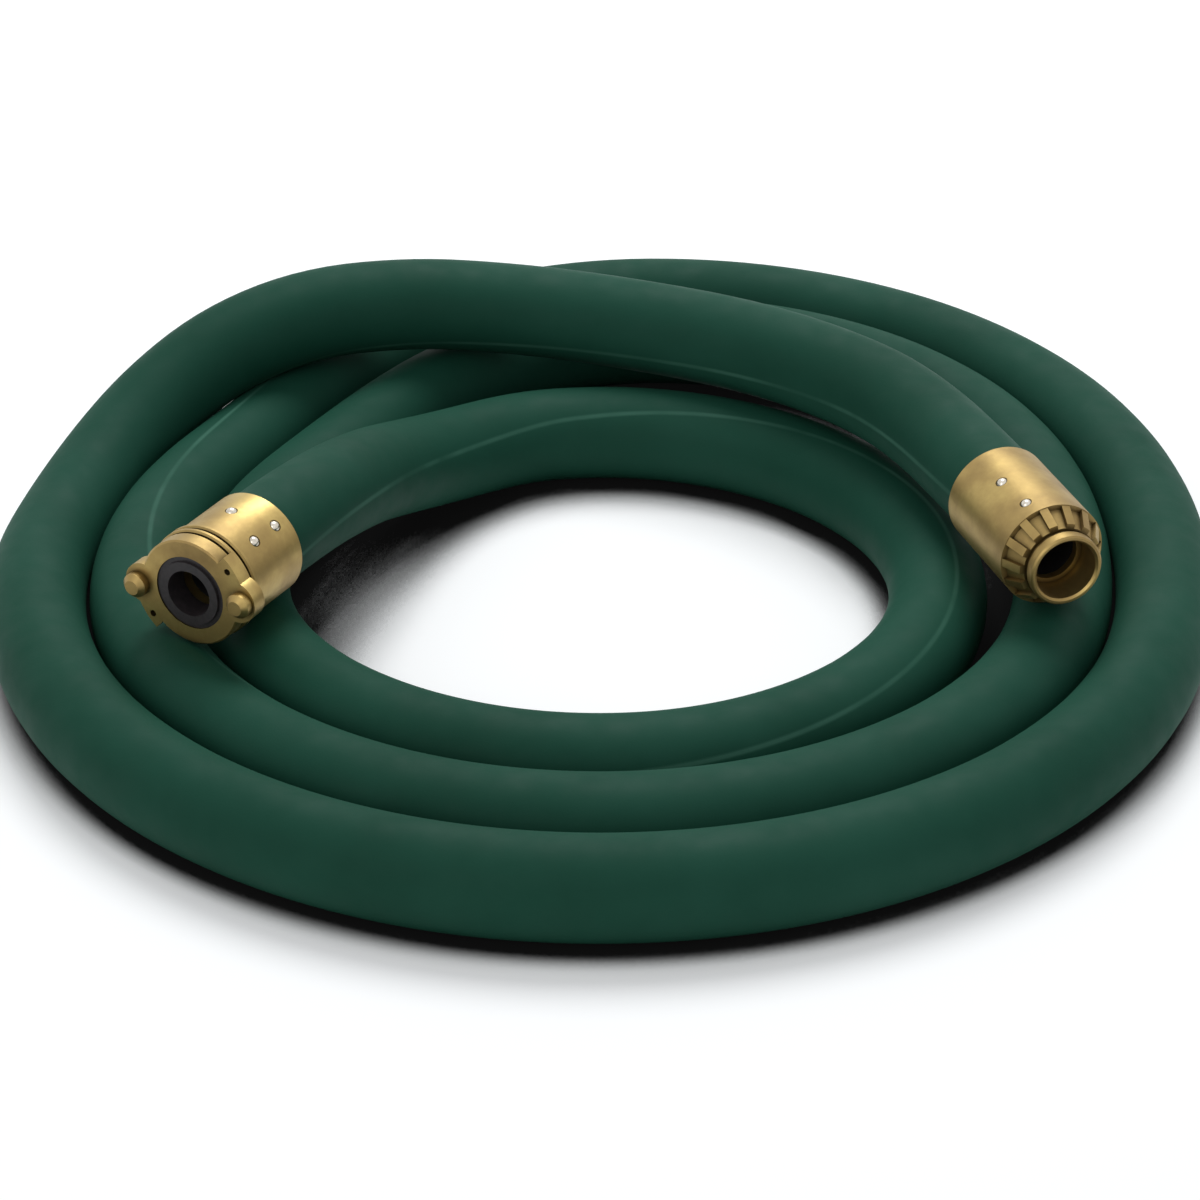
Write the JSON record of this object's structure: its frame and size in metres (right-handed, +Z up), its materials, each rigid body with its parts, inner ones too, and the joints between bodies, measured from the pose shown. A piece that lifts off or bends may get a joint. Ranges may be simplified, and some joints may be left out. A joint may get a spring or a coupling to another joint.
{
  "type": "coupled blast hose",
  "caption": "Thick rubber hose in a flat coil, with a claw quick coupling on one end and a nozzle holder on the other.",
  "frame": {"origin": "on the floor, under the middle of the coil's bounding box", "axes": "+Z up; +X to the right and +Y to the back, seen from the side the couplings face"},
  "size_m": [0.5972, 0.634, 0.1008],
  "materials": {
    "green_rubber": "matt",
    "textile": "matt",
    "black_rubber": "matt",
    "gasket_rubber": "matt",
    "brass": "cast, satin",
    "screw_steel": "satin"
  },
  "bodies": {
    "root": {"hose_cover": "green_rubber", "hose_plies": "textile", "hose_lining": "black_rubber", "claw_coupling_body": "brass", "claw_gasket": "gasket_rubber", "claw_coupling_screws": "screw_steel", "nozzle_holder_body": "brass", "nozzle_holder_screws": "screw_steel"}
  },
  "joints": []
}
